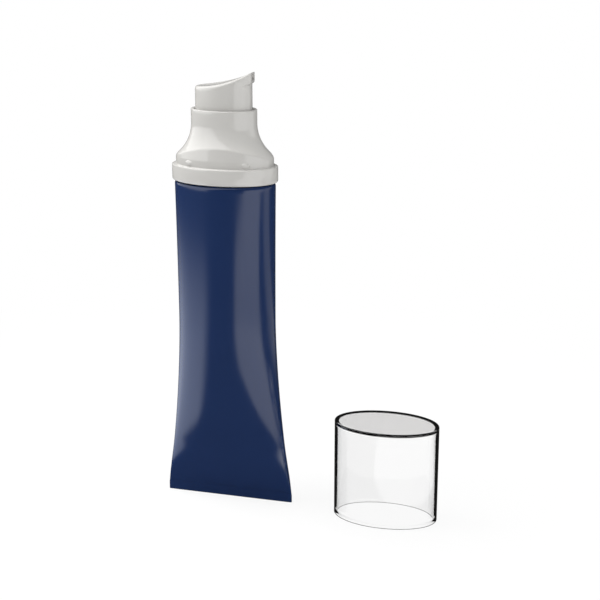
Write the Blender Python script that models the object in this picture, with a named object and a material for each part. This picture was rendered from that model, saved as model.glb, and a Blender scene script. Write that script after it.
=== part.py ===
# Airless pump tube: a flattened sleeve crimped at the foot, an oval head with a
# bell-shaped collar, a press button with a beak, the pump inside, and the clear
# overcap standing beside it.
# Metres, +Z up. The origin is the middle of the crimp's lower edge, and +X runs
# along the crimp towards the nozzle.

import math

import bmesh
import bpy
from mathutils import Matrix, Vector

for old_object in list(bpy.data.objects):
    bpy.data.objects.remove(old_object, do_unlink=True)

# Clearances
fit_gap = 0.0003            # between pieces that touch or seat
overrun = 0.002             # how far every cutter runs past what it cuts
merge_gap = 0.000003        # points nearer than this are one

# Sleeve
sleeve_height = 0.1373
sleeve_wall = 0.0005
crimp_half_width = 0.0275
crimp_height = 0.0043
crimp_half_thickness = 0.0005
seal_depth = 0.0020         # how far the two walls stay welded above the crimp
waist_height = 0.080
waist_half_width = 0.02045
foot_spread = 0.00755       # extra half width that the flattened foot would reach
foot_power = 1.65
top_spread = 0.00045        # extra half width at the shoulder
belly_half_depth = 0.01335
shoulder_half_depth = 0.01275
closing_power = 0.85
shoulder_radius = 0.0012
lip_reach = 0.0022          # the sleeve's top edge turns this far inward
flat_power = 8.0            # how square the crimp's ends are
flat_reach = 0.026          # the ends are oval again above this height
oval_power = 2.0
row_power = 1.4             # rows of points crowd towards the crimp

# Tube head, welded inside the sleeve's top
head_skirt_length = 0.0055
head_wall = 0.0013
head_edge_radius = 0.0007
spout_radius = 0.0077
spout_bore_radius = 0.0061
spout_length = 0.0101
spout_bead = 0.0006
spout_bead_height = 0.0012
spout_bead_drop = 0.0045    # from the spout's rim down to its snap bead

# Collar: ledge ring, band, bell and neck in one moulding
collar_wall = 0.0013
collar_height = 0.0285
ring_height = 0.0062
ledge = 0.00165
ring_top_radius = 0.0005
ring_foot_radius = 0.0010
ledge_thickness = 0.0014
band_half_width = 0.0202
band_half_depth = 0.0117
band_height = 0.0033
wall_draft = 0.0005         # the oval wall leans in this far by the arch's top
arch_height = 0.0059        # from the band up to the top of the arched facet
neck_half_width = 0.01345
neck_half_depth = 0.0091
neck_length = 0.0051
flare_radius = 0.0161
rim_radius = 0.0004
bead_half_length = 0.0017
bead_half_height = 0.0010
bead_rise = 0.00035
bead_place_share = 0.58     # of the band's half width
bead_height_share = 0.60    # of the band's height
rib_thickness = 0.0010
rib_height = 0.0083

# Overcap
cap_play = 0.00015
cap_wall = 0.00125
cap_height = 0.04135
cap_roof = 0.0014
cap_edge_radius = 0.0008
cap_mouth_radius = 0.0003
cap_groove_height = 0.0012
cap_groove_depth = 0.00025
cap_draft = 0.0002
cap_stand_x = 0.0682        # where it stands beside the tube
cap_stand_y = -0.0014

# Button
button_play = 0.0005        # between the button and the neck's inside
button_wall = 0.0011
button_roof = 0.0013
button_skirt = 0.0058       # how much of it is inside the neck
button_rise = 0.00935       # from the neck's rim to the lowest part of its top
button_edge_radius = 0.0010
button_foot_radius = 0.0003
top_radius = 0.053          # the finger rest's curve, seen from the side
top_centre_x = -0.0120
dish_depth = 0.0004
dish_row_shares = (0.8, 0.55, 0.25)     # of the top's half width
roof_row_shares = (1.0, 0.6, 0.25)      # of the hollow's half width
beak_root_x = 0.0085
beak_root_height = 0.0094   # above the neck's rim
beak_tip_x = 0.0130
beak_slope = 0.36
beak_side_share = 0.82      # of the beak's points lie on its straight sides
orifice_radius = 0.0010
orifice_rise = 0.0129       # above the neck's rim
duct_wall = 0.0010
boss_radius = 0.0046
socket_depth = 0.0050

# Pump engine
stroke = 0.0045
lost_motion = 0.0006        # travel before the piston follows the stem
chamber_radius = 0.0046
housing_wall = 0.0009
flange_radius = 0.0076
flange_thickness = 0.0010
tower_height = 0.0035
gasket_thickness = 0.0008
closure_wall = 0.0012
closure_roof = 0.0012
closure_hook_height = 0.0012
guide_flange = 0.0010
guide_plug_length = 0.0033
guide_tube_height = 0.0022
guide_tube_wall = 0.00065
stem_radius = 0.00245
stem_bore_radius = 0.0011
stem_collar_radius = 0.0039
stem_collar_height = 0.0012
piston_length = 0.0051
piston_wall = 0.00065
piston_web = 0.0008
piston_lip = 0.00045
piston_lip_flare = 0.0002
poppet_radius = 0.0036
poppet_height = 0.0022
poppet_nose_share = 0.45    # of the poppet's radius
rod_radius = 0.0008
rod_length = 0.0083
port_gap = 0.0005
cage_thickness = 0.0010
cage_clearance = 0.0007
cage_ring_width = 0.0011
cage_arm_width = 0.0010
valve_chamber_radius = 0.0034
valve_chamber_depth = 0.0030
valve_wall = 0.0010
seat_mouth_radius = 0.0023
inlet_radius = 0.0010
nipple_radius = 0.0022
nipple_length = 0.0030
ball_radius = 0.0016

# Return spring
spring_length = 0.0089
spring_wire_radius = 0.0003
spring_radius = 0.0040
spring_turns = 5

# Counts
oval_points = 44
round_points = 24
arc_steps = 3
sleeve_rows = 10
flare_rows = 9
points_per_turn = 10
spring_bevel_steps = 1
cage_arms = 3
sphere_rings = 8
bead_points = 10

# Heights that follow from the sizes above
ring_bottom = sleeve_height + fit_gap
ring_top = ring_bottom + ring_height
band_top = ring_top + band_height
rim_top = ring_bottom + collar_height
flare_top = rim_top - neck_length
head_top = sleeve_height - sleeve_wall - fit_gap
spout_top = head_top + spout_length
gasket_bottom = spout_top + fit_gap
flange_bottom = gasket_bottom + gasket_thickness + fit_gap
flange_top = flange_bottom + flange_thickness
roof_bottom = flange_top + fit_gap
housing_top = flange_top + tower_height
guide_bottom = housing_top + fit_gap
guide_top = guide_bottom + guide_flange
plug_bottom = guide_bottom - guide_plug_length
spring_bottom = guide_top + fit_gap
boss_bottom = spring_bottom + spring_length + fit_gap
socket_top = boss_bottom + socket_depth
stem_top = socket_top - fit_gap
stem_collar_top = plug_bottom - fit_gap
stem_collar_bottom = stem_collar_top - stem_collar_height
piston_top = stem_collar_bottom - lost_motion - fit_gap
piston_bottom = piston_top - piston_length
poppet_top = piston_bottom - fit_gap
poppet_bottom = poppet_top - poppet_height
stem_bottom = poppet_top + port_gap
cage_top = poppet_bottom - stroke - cage_clearance
cage_bottom = cage_top - cage_thickness
valve_ledge = cage_bottom - fit_gap
valve_floor = valve_ledge - valve_chamber_depth
seat_bottom = valve_floor - (seat_mouth_radius - inlet_radius)
nipple_top = seat_bottom - valve_wall
nipple_bottom = nipple_top - nipple_length
ball_height = seat_bottom - inlet_radius + math.sqrt(2) * (ball_radius + fit_gap)

# Widths that follow from the sizes above
button_half_width = neck_half_width - collar_wall - button_play
button_half_depth = neck_half_depth - collar_wall - button_play
housing_radius = chamber_radius + housing_wall
closure_radius = spout_radius + spout_bead + fit_gap + closure_wall
stem_hole_radius = stem_radius + fit_gap
cap_inner_half_width = band_half_width + cap_play
cap_inner_half_depth = band_half_depth + cap_play


def paint(name, colour, roughness, metallic=0.0, transmission=0.0):
    """One plain finish."""
    look = bpy.data.materials.new(name)
    look.use_nodes = True
    shader = look.node_tree.nodes["Principled BSDF"]
    shader.inputs["Base Color"].default_value = (*colour, 1.0)
    shader.inputs["Roughness"].default_value = roughness
    shader.inputs["Metallic"].default_value = metallic
    shader.inputs["Transmission Weight"].default_value = transmission
    look.diffuse_color = (*colour, 1.0)
    return look


def add_object(name, shape, look=None):
    """One piece from its shape, with its faces pointing out."""
    bmesh.ops.recalc_face_normals(shape, faces=shape.faces)
    mesh = bpy.data.meshes.new(name)
    shape.to_mesh(mesh)
    shape.free()
    if look:
        mesh.materials.append(look)
    mesh.shade_smooth()
    mesh.set_sharp_from_angle(angle=math.radians(35))
    result = bpy.data.objects.new(name, mesh)
    bpy.context.collection.objects.link(result)
    return result


def combine(target, tool, operation):
    """Join, cut or overlap two solids; the second stays as a hidden guide."""
    change = target.modifiers.new(tool.name, "BOOLEAN")
    change.operation = operation
    change.object = tool
    tool.hide_render = True
    tool.display_type = "WIRE"


def ring(half_width, half_depth, z, power=oval_power):
    """Closed oval of points; a power above 2 squares its corners."""
    points = []
    for step in range(oval_points):
        turn = 2 * math.pi * step / oval_points
        across, along = math.cos(turn), math.sin(turn)
        x = half_width * math.copysign(abs(across) ** (2 / power), across)
        y = half_depth * math.copysign(abs(along) ** (2 / power), along)
        points.append(Vector((x, y, z)))
    return points


def skin(name, rings, look=None, endless=False):
    """Faces through a row of rings; the end rings are closed, or joined if endless."""
    shape = bmesh.new()
    loops = [[shape.verts.new(point) for point in points] for points in rings]
    pairs = list(zip(loops, loops[1:]))
    if endless:
        pairs.append((loops[-1], loops[0]))
    else:
        shape.faces.new(loops[0])
        shape.faces.new(loops[-1])
    for lower, upper in pairs:
        for k in range(len(lower)):
            after = (k + 1) % len(lower)
            shape.faces.new((lower[k], lower[after], upper[after], upper[k]))
    return add_object(name, shape, look)


def turned(name, section, look=None, endless=False):
    """Spin a section of (radius, height) about the axis; endless has a bore."""
    shape = bmesh.new()
    verts = [shape.verts.new((radius, 0, z)) for radius, z in section]
    pairs = list(zip(verts, verts[1:]))
    if endless:
        pairs.append((verts[-1], verts[0]))
    edges = [shape.edges.new(pair) for pair in pairs]
    bmesh.ops.spin(shape, geom=verts + edges, cent=(0, 0, 0), axis=(0, 0, 1),
                   angle=2 * math.pi, steps=round_points, use_merge=True)
    bmesh.ops.remove_doubles(shape, verts=shape.verts, dist=merge_gap)
    return add_object(name, shape, look)


def rounded(corner, radius, start_turn, end_turn):
    """Points of a fillet about a centre, from one direction to the other."""
    points = []
    for step in range(arc_steps + 1):
        turn = math.radians(start_turn + (end_turn - start_turn) * step / arc_steps)
        points.append((corner[0] + radius * math.cos(turn), corner[1] + radius * math.sin(turn)))
    return points


def rod_between(name, start, end, radius):
    """Round bar from one point to the other."""
    shape = bmesh.new()
    run = end - start
    turn = run.to_track_quat("Z", "Y").to_matrix().to_4x4()
    place = Matrix.Translation((start + end) / 2) @ turn
    bmesh.ops.create_cone(shape, cap_ends=True, segments=round_points, radius1=radius,
                          radius2=radius, depth=run.length, matrix=place)
    return add_object(name, shape)


def block(name, size, centre):
    """Box from its three sizes and its middle."""
    shape = bmesh.new()
    place = Matrix.Translation(centre) @ Matrix.Diagonal((*size, 1))
    bmesh.ops.create_cube(shape, size=1, matrix=place)
    return add_object(name, shape)


def sleeve_half_width(z):
    """Half the sleeve's width: waisted in the middle, spread out at the foot."""
    if z < waist_height:
        spread = foot_spread * (1 - z / waist_height) ** foot_power
        return min(crimp_half_width, waist_half_width + spread)
    rise = (z - waist_height) / (sleeve_height - waist_height)
    return waist_half_width + top_spread * rise ** 2


def sleeve_half_depth(z):
    """Half the sleeve's depth: flat at the crimp, full at the waist."""
    if z <= crimp_height:
        return crimp_half_thickness
    if z < waist_height:
        rise = ((z - crimp_height) / (waist_height - crimp_height)) ** closing_power
        return crimp_half_thickness + (belly_half_depth - crimp_half_thickness) * math.sin(math.pi / 2 * rise)
    rise = (z - waist_height) / (sleeve_height - waist_height)
    return belly_half_depth - (belly_half_depth - shoulder_half_depth) * rise ** 2


def sleeve_ring(z, inset):
    """One section of the sleeve, the inset in from its outside."""
    level = min(1.0, z / flat_reach)
    power = oval_power + (flat_power - oval_power) * (1 - level) ** 2
    return ring(sleeve_half_width(z) - inset, sleeve_half_depth(z) - inset, z, power)


def make_tube_sleeve(look):
    straight_top = sleeve_height - shoulder_radius
    rings = [sleeve_ring(0, 0)]
    for row in range(sleeve_rows + 1):
        z = crimp_height + (straight_top - crimp_height) * (row / sleeve_rows) ** row_power
        rings.append(sleeve_ring(z, 0))
    for inset, z in rounded((shoulder_radius, straight_top), shoulder_radius, 180, 90)[1:]:
        rings.append(sleeve_ring_at(inset, z))
    rings.append(sleeve_ring_at(lip_reach, sleeve_height))
    rings.append(sleeve_ring_at(lip_reach, sleeve_height - sleeve_wall))
    inner_radius = shoulder_radius - sleeve_wall
    for inset, z in rounded((shoulder_radius, straight_top), inner_radius, 90, 180):
        rings.append(sleeve_ring_at(inset, z))
    inner_foot = crimp_height + seal_depth
    for row in reversed(range(sleeve_rows)):
        z = inner_foot + (straight_top - inner_foot) * (row / sleeve_rows) ** row_power
        rings.append(sleeve_ring(z, sleeve_wall))
    return skin("tube_sleeve", rings, look)


def sleeve_ring_at(inset, z):
    """Section of the turned-in shoulder, measured in from the sleeve's top."""
    half_width = sleeve_half_width(sleeve_height) - inset
    half_depth = sleeve_half_depth(sleeve_height) - inset
    return ring(half_width, half_depth, z)


def make_tube_head(look):
    """Oval shoulder with a round spout that the pump hangs in."""
    edge = sleeve_wall + fit_gap
    skirt_bottom = head_top - head_skirt_length
    bead_top = spout_top - spout_bead_drop
    bead_bottom = bead_top - spout_bead_height
    rings = [sleeve_ring_at(edge, skirt_bottom)]
    corner = (edge + head_edge_radius, head_top - head_edge_radius)
    rings += [sleeve_ring_at(inset, z) for inset, z in rounded(corner, head_edge_radius, 180, 90)]
    for radius, z in ((spout_radius, head_top),
                      (spout_radius, bead_bottom - spout_bead),
                      (spout_radius + spout_bead, bead_bottom),
                      (spout_radius + spout_bead, bead_top - spout_bead),
                      (spout_radius, bead_top),
                      (spout_radius, spout_top),
                      (spout_bore_radius, spout_top),
                      (spout_bore_radius, head_top - head_wall)):
        rings.append(ring(radius, radius, z))
    rings.append(sleeve_ring_at(edge + head_wall, head_top - head_wall))
    rings.append(sleeve_ring_at(edge + head_wall, skirt_bottom))
    return skin("tube_head", rings, look, endless=True)


def flare(z):
    """How far the bell stands out from the neck, and the slope of its side there."""
    drop = max(0.0, flare_top - z)
    level = math.sqrt(flare_radius ** 2 - drop ** 2)
    return flare_radius - level, drop / level


def wall_lean(z):
    """How far the oval wall above the band leans in."""
    return wall_draft * max(0.0, z - band_top) / arch_height


def make_collar(look):
    """Ledge ring, band and bell: an oval wall cut by the flared neck, then hollowed."""
    ring_half_width = band_half_width + ledge
    ring_half_depth = band_half_depth + ledge
    rows = [(-ring_foot_radius, ring_bottom)]
    rows += rounded((-ring_foot_radius, ring_bottom + ring_foot_radius), ring_foot_radius, -90, 0)[1:]
    rows += rounded((-ring_top_radius, ring_top - ring_top_radius), ring_top_radius, 0, 90)
    rings = [ring(ring_half_width + out, ring_half_depth + out, z) for out, z in rows]
    top = rim_top + overrun
    for z in (ring_top, band_top, top):
        lean = wall_lean(z)
        rings.append(ring(band_half_width - lean, band_half_depth - lean, z))
    collar = skin("pump_collar", rings, look)

    wide = ring_half_width + overrun
    rings = [ring(wide, wide, ring_bottom - overrun), ring(wide, wide, band_top)]
    for row in range(flare_rows + 1):
        z = band_top + (flare_top - band_top) * row / flare_rows
        out = flare(z)[0]
        rings.append(ring(neck_half_width + out, neck_half_depth + out, z))
    for out, z in rounded((-rim_radius, rim_top - rim_radius), rim_radius, 0, 90):
        rings.append(ring(neck_half_width + out, neck_half_depth + out, z))
    bell_form = skin("bell_form", rings)
    combine(collar, bell_form, "INTERSECT")
    combine(collar, make_beads(), "UNION")
    combine(collar, make_collar_core(), "DIFFERENCE")
    return collar


def make_beads():
    """Four low snap beads on the band that hold the overcap."""
    shape = bmesh.new()
    x = band_half_width * bead_place_share
    y = band_half_depth * math.sqrt(1 - bead_place_share ** 2)
    z = ring_top + band_height * bead_height_share
    for side_x in (1, -1):
        for side_y in (1, -1):
            outward = Vector((side_x * x / band_half_width ** 2, side_y * y / band_half_depth ** 2, 0))
            turn = outward.to_track_quat("X", "Z").to_matrix().to_4x4()
            size = Matrix.Diagonal((bead_rise, bead_half_length, bead_half_height, 1))
            place = Matrix.Translation((side_x * x, side_y * y, z)) @ turn @ size
            bmesh.ops.create_uvsphere(shape, u_segments=bead_points, v_segments=sphere_rings,
                                      radius=1, matrix=place)
    return add_object("snap_beads", shape)


def make_collar_core():
    """The collar's hollow, which leaves two ribs that grip the closure."""
    inner = ledge - collar_wall
    rings = [ring(band_half_width + inner, band_half_depth + inner, ring_bottom - overrun),
             ring(band_half_width + inner, band_half_depth + inner, ring_top - ledge_thickness)]
    rings.append(ring(band_half_width - collar_wall, band_half_depth - collar_wall,
                      ring_top - ledge_thickness))
    for row in range(flare_rows + 1):
        z = band_top + (flare_top - band_top) * row / flare_rows
        out, slope = flare(z)
        inset = collar_wall * math.sqrt(1 + slope ** 2)
        side = wall_lean(z) + collar_wall
        half_width = min(neck_half_width + out - inset, band_half_width - side)
        half_depth = min(neck_half_depth + out - inset, band_half_depth - side)
        rings.append(ring(half_width, half_depth, z))
    rings.append(ring(neck_half_width - collar_wall, neck_half_depth - collar_wall, rim_top + overrun))
    core = skin("collar_core", rings)
    rib_x = closure_radius + fit_gap + rib_thickness / 2
    rib_bottom = ring_top - 2 * ledge_thickness
    for name, side in (("rib_front", 1), ("rib_back", -1)):
        rib = block(name, (rib_thickness, 2 * band_half_depth, rib_height),
                    (side * rib_x, 0, rib_bottom + rib_height / 2))
        combine(core, rib, "DIFFERENCE")
    return core


def make_overcap(look):
    """Clear oval cup standing mouth down beside the tube."""
    outer_x = cap_inner_half_width + cap_wall
    outer_y = cap_inner_half_depth + cap_wall
    roof_z = cap_height - cap_roof
    groove = ring_height_of_beads()
    rows = rounded((-cap_mouth_radius, cap_mouth_radius), cap_mouth_radius, -90, 0)
    rows += rounded((-cap_edge_radius, cap_height - cap_edge_radius), cap_edge_radius, 0, 90)
    rings = [ring(outer_x + out, outer_y + out, z) for out, z in rows]
    rings = list(reversed(rings))
    inside = ((0, 0), (0, groove - cap_groove_height / 2), (cap_groove_depth, groove),
              (0, groove + cap_groove_height / 2), (-cap_draft, roof_z - cap_edge_radius))
    rings += [ring(cap_inner_half_width + out, cap_inner_half_depth + out, z) for out, z in inside]
    turn_in = cap_draft + cap_edge_radius
    rings.append(ring(cap_inner_half_width - turn_in, cap_inner_half_depth - turn_in, roof_z))
    overcap = skin("overcap", rings, look)
    overcap.location = (cap_stand_x, cap_stand_y, 0)
    return overcap


def ring_height_of_beads():
    """How far the snap beads lie above the ledge that the cap rests on."""
    return band_height * bead_height_share


def top_of_button(x):
    """Height of the finger rest, an arc that climbs towards the beak."""
    level = math.sqrt(top_radius ** 2 - (x - top_centre_x) ** 2)
    return rim_top + button_rise + top_radius - level


def beak_outline():
    """Plan of the button's top: its oval, drawn out by straight sides to the beak's tip."""
    root_turn = math.acos(beak_root_x / button_half_width)
    root_y = button_half_depth * math.sin(root_turn)
    side_slope = (button_half_depth / button_half_width) ** 2 * beak_root_x / root_y
    tip_y = root_y - side_slope * (beak_tip_x - beak_root_x)
    plan = []
    for point in ring(button_half_width, button_half_depth, 0):
        turn = abs(math.atan2(point.y / button_half_depth, point.x / button_half_width))
        x, y = point.x, abs(point.y)
        if turn < root_turn:
            way = min(1.0, (1 - turn / root_turn) / beak_side_share)
            x = beak_root_x + (beak_tip_x - beak_root_x) * way
            y = root_y + (tip_y - root_y) * way
            if way >= 1.0:
                y = tip_y * turn / (root_turn * (1 - beak_side_share))
        plan.append(Vector((x, math.copysign(y, point.y), 0)))
    return plan


def inset_plan(plan, distance):
    """The plan moved in by a distance, square to its own line."""
    moved = []
    count = len(plan)
    for k, point in enumerate(plan):
        along = plan[(k + 1) % count] - plan[k - 1]
        inward = Vector((-along.y, along.x, 0)).normalized()
        moved.append(point + inward * distance)
    return moved


def make_actuator(look):
    """Press button: oval skirt, scooped top and a beak with the orifice."""
    foot = rim_top - button_skirt
    root_z = rim_top + beak_root_height
    wall = ring(button_half_width, button_half_depth, 0)
    plan = beak_outline()
    rings = [[Vector((p.x, p.y, foot)) for p in inset_plan(wall, button_foot_radius)],
             [Vector((p.x, p.y, foot + button_foot_radius)) for p in wall]]
    under, over = [], []
    for low, high in zip(wall, plan):
        if low.x > beak_root_x:
            under_z = root_z + beak_slope * (low.x - beak_root_x)
            over_z = root_z + beak_slope * (high.x - beak_root_x)
        else:
            under_z = root_z - 2 * button_edge_radius - dish_depth
            over_z = root_z - 2 * button_edge_radius
        under.append(Vector((low.x, low.y, under_z)))
        over.append(Vector((high.x, high.y, over_z)))
    rings += [under, over]
    for inset, drop in rounded((button_edge_radius, -button_edge_radius), button_edge_radius, 180, 90):
        edge = inset_plan(plan, inset)
        rings.append([Vector((p.x, p.y, top_of_button(p.x) + drop)) for p in edge])
    for reach in dish_row_shares:
        sink = dish_depth * (1 - reach ** 2)
        rings.append([Vector((p.x * reach, p.y * reach, top_of_button(p.x * reach) - sink)) for p in edge])
    actuator = skin("actuator", rings, look)
    combine(actuator, make_button_core(), "DIFFERENCE")

    socket = rod_between("stem_socket", Vector((0, 0, boss_bottom - overrun)),
                         Vector((0, 0, socket_top)), stem_hole_radius)
    combine(actuator, socket, "DIFFERENCE")
    start, end = duct_line()
    climb = rod_between("riser", Vector((0, 0, socket_top - fit_gap)), start, orifice_radius)
    combine(actuator, climb, "DIFFERENCE")
    duct = rod_between("duct", start, end + (end - start).normalized() * overrun, orifice_radius)
    combine(actuator, duct, "DIFFERENCE")
    return actuator


def duct_line():
    """The duct's two ends: above the stem, and at the beak's orifice."""
    start = Vector((0, 0, socket_top + 2 * orifice_radius + duct_wall))
    return start, Vector((beak_tip_x, 0, rim_top + orifice_rise))


def make_button_core():
    """The button's hollow, less the boss for the stem and the duct to the beak."""
    wall = ring(button_half_width - button_wall, button_half_depth - button_wall, 0)
    foot = rim_top - button_skirt - overrun
    rings = [[Vector((p.x, p.y, foot)) for p in wall]]
    for reach in roof_row_shares:
        roof = button_roof + dish_depth * (1 - reach ** 2)
        rings.append([Vector((p.x * reach, p.y * reach, top_of_button(p.x * reach) - roof)) for p in wall])
    core = skin("button_core", rings)
    boss = rod_between("stem_boss", Vector((0, 0, boss_bottom)),
                       Vector((0, 0, top_of_button(button_half_width))), boss_radius)
    combine(core, boss, "DIFFERENCE")
    combine(core, make_duct_shell(), "DIFFERENCE")
    return core


def make_duct_shell():
    """The duct's wall: half round below, and carried up into the roof as a web."""
    radius = orifice_radius + duct_wall
    top = top_of_button(button_half_width)
    rings = []
    for middle in duct_line():
        points = [Vector((middle.x, -radius, top))]
        for step in range(round_points // 2 + 1):
            turn = math.pi + 2 * math.pi * step / round_points
            points.append(middle + Vector((0, math.cos(turn), math.sin(turn))) * radius)
        points.append(Vector((middle.x, radius, top)))
        rings.append(points)
    return skin("duct_shell", rings)


def make_closure(look):
    """Snap closure that hooks under the spout's bead and clamps the pump."""
    inside = spout_radius + spout_bead + fit_gap
    hook = spout_radius + fit_gap
    bottom = head_top + fit_gap
    hook_top = spout_top - spout_bead_drop - spout_bead_height - spout_bead - fit_gap
    hook_bottom = hook_top - closure_hook_height
    roof_top = roof_bottom + closure_roof
    section = [(closure_radius, bottom), (closure_radius, roof_top),
               (housing_radius + fit_gap, roof_top), (housing_radius + fit_gap, roof_bottom),
               (inside, roof_bottom), (inside, hook_top + spout_bead),
               (hook, hook_top), (hook, hook_bottom),
               (inside, hook_bottom - spout_bead), (inside, bottom)]
    return turned("snap_closure", section, look, endless=True)


def make_gasket(look):
    inner = housing_radius + fit_gap
    outer = spout_radius
    top = gasket_bottom + gasket_thickness
    section = [(inner, gasket_bottom), (outer, gasket_bottom), (outer, top), (inner, top)]
    return turned("neck_gasket", section, look, endless=True)


def make_housing(look):
    """Pump chamber with its flange, and the ball seat and inlet nipple below."""
    valve_radius = valve_chamber_radius + valve_wall
    section = [(chamber_radius, housing_top), (housing_radius, housing_top),
               (housing_radius, flange_top), (flange_radius, flange_top),
               (flange_radius, flange_bottom), (housing_radius, flange_bottom),
               (housing_radius, valve_ledge), (valve_radius, valve_ledge - housing_wall),
               (valve_radius, nipple_top), (nipple_radius, nipple_top),
               (nipple_radius, nipple_bottom), (inlet_radius, nipple_bottom),
               (inlet_radius, seat_bottom), (seat_mouth_radius, valve_floor),
               (valve_chamber_radius, valve_floor), (valve_chamber_radius, valve_ledge),
               (chamber_radius, valve_ledge)]
    return turned("pump_housing", section, look, endless=True)


def make_inlet_ball(look):
    shape = bmesh.new()
    bmesh.ops.create_uvsphere(shape, u_segments=round_points // 2, v_segments=sphere_rings,
                              radius=ball_radius)
    ball = add_object("inlet_ball", shape, look)
    ball.location = (0, 0, ball_height)
    return ball


def make_ball_cage(look):
    """Ring with three arms that keeps the ball in its chamber."""
    outer = chamber_radius - fit_gap
    inner = outer - cage_ring_width
    section = [(inner, cage_bottom), (outer, cage_bottom), (outer, cage_top), (inner, cage_top)]
    cage = turned("ball_cage", section, look, endless=True)
    middle = Vector((0, 0, (cage_bottom + cage_top) / 2))
    for arm in range(cage_arms):
        turn = 2 * math.pi * arm / cage_arms
        reach = (inner + outer) / 2
        size = (reach, cage_arm_width, cage_thickness / 2)
        centre = middle + Vector((math.cos(turn), math.sin(turn), 0)) * reach / 2
        shape = bmesh.new()
        place = Matrix.Translation(centre) @ Matrix.Rotation(turn, 4, "Z") @ Matrix.Diagonal((*size, 1))
        bmesh.ops.create_cube(shape, size=1, matrix=place)
        combine(cage, add_object(f"cage_arm_{arm + 1}", shape), "UNION")
    return cage


def make_guide(look):
    """Stem guide plugged into the chamber's mouth; its flange seats the spring."""
    plug = chamber_radius - fit_gap
    tube = stem_hole_radius + guide_tube_wall
    section = [(stem_hole_radius, plug_bottom), (plug, plug_bottom), (plug, guide_bottom),
               (housing_radius, guide_bottom), (housing_radius, guide_top), (tube, guide_top),
               (tube, guide_top + guide_tube_height), (stem_hole_radius, guide_top + guide_tube_height)]
    return turned("stem_guide", section, look, endless=True)


def make_stem(look):
    """Hollow stem from the button's socket down through the piston."""
    section = [(stem_bore_radius, stem_bottom), (stem_radius, stem_bottom),
               (stem_radius, stem_collar_bottom), (stem_collar_radius, stem_collar_bottom),
               (stem_collar_radius, stem_collar_top), (stem_radius, stem_collar_top),
               (stem_radius, stem_top), (stem_bore_radius, stem_top)]
    return turned("stem", section, look, endless=True)


def make_poppet(look):
    """Valve rod pressed up the stem's bore; its head closes the piston's foot."""
    nose = poppet_radius * poppet_nose_share
    section = [(0, poppet_bottom), (nose, poppet_bottom), (poppet_radius, poppet_top - port_gap),
               (poppet_radius, poppet_top), (rod_radius, poppet_top),
               (rod_radius, poppet_top + rod_length), (0, poppet_top + rod_length)]
    return turned("valve_rod", section, look)


def make_piston(look):
    """Double-lipped piston that slides in the chamber and on the stem."""
    bore = stem_hole_radius
    sleeve = bore + piston_wall
    outer = chamber_radius - fit_gap
    skirt = outer - piston_lip - piston_lip_flare
    lip_bottom = piston_bottom + piston_web / 2
    lip_top = piston_top - piston_web / 2
    web_bottom = (piston_bottom + piston_top - piston_web) / 2
    web_top = web_bottom + piston_web
    section = [(bore, piston_bottom), (sleeve, piston_bottom), (sleeve, web_bottom), (skirt, web_bottom),
               (outer - piston_lip, lip_bottom), (outer, lip_bottom),
               (outer - piston_lip_flare, web_bottom), (outer - piston_lip_flare, web_top),
               (outer, lip_top), (outer - piston_lip, lip_top),
               (skirt, web_top), (sleeve, web_top), (sleeve, piston_top), (bore, piston_top)]
    return turned("piston", section, look, endless=True)


def spring_points():
    """Helix with level, straight ends one wire thickness long."""
    wire = 2 * spring_wire_radius
    low = spring_bottom + spring_wire_radius
    high = spring_bottom + spring_length - spring_wire_radius
    count = spring_turns * points_per_turn
    helix = []
    for step in range(count + 1):
        turn = 2 * math.pi * spring_turns * step / count
        z = low + (high - low) * step / count
        helix.append(Vector((spring_radius * math.cos(turn), spring_radius * math.sin(turn), z)))
    first = helix[0] - Vector((0, wire, 0))
    last = helix[-1] + Vector((0, wire, 0))
    return [first] + helix + [last]


def least_gap(points):
    """Smallest space between two turns of the wire, away from its own run."""
    apart = points_per_turn // 2
    nearest = min((a - b).length for k, a in enumerate(points) for b in points[k + apart:])
    return nearest - 2 * spring_wire_radius


def make_spring(look):
    points = spring_points()
    line = bpy.data.curves.new("return_spring", "CURVE")
    line.dimensions = "3D"
    line.bevel_depth = spring_wire_radius
    line.bevel_resolution = spring_bevel_steps
    line.use_fill_caps = True
    spline = line.splines.new("POLY")
    spline.points.add(len(points) - 1)
    for knot, point in zip(spline.points, points):
        knot.co = (*point, 1)
    line.materials.append(look)
    spring = bpy.data.objects.new("return_spring", line)
    bpy.context.collection.objects.link(spring)
    print(f"return_spring: least gap between turns {least_gap(points) * 1000:.2f} mm")
    return spring


def make_joint(name, height, pieces, x=0.0, y=0.0):
    """Empty on a joint's axis that carries the pieces that move with it."""
    empty = bpy.data.objects.new(name, None)
    empty.empty_display_size = band_half_width
    empty.location = (x, y, height)
    bpy.context.collection.objects.link(empty)
    bpy.context.view_layer.update()
    for piece in pieces:
        piece.parent = empty
        piece.matrix_parent_inverse = empty.matrix_world.inverted()


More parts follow.
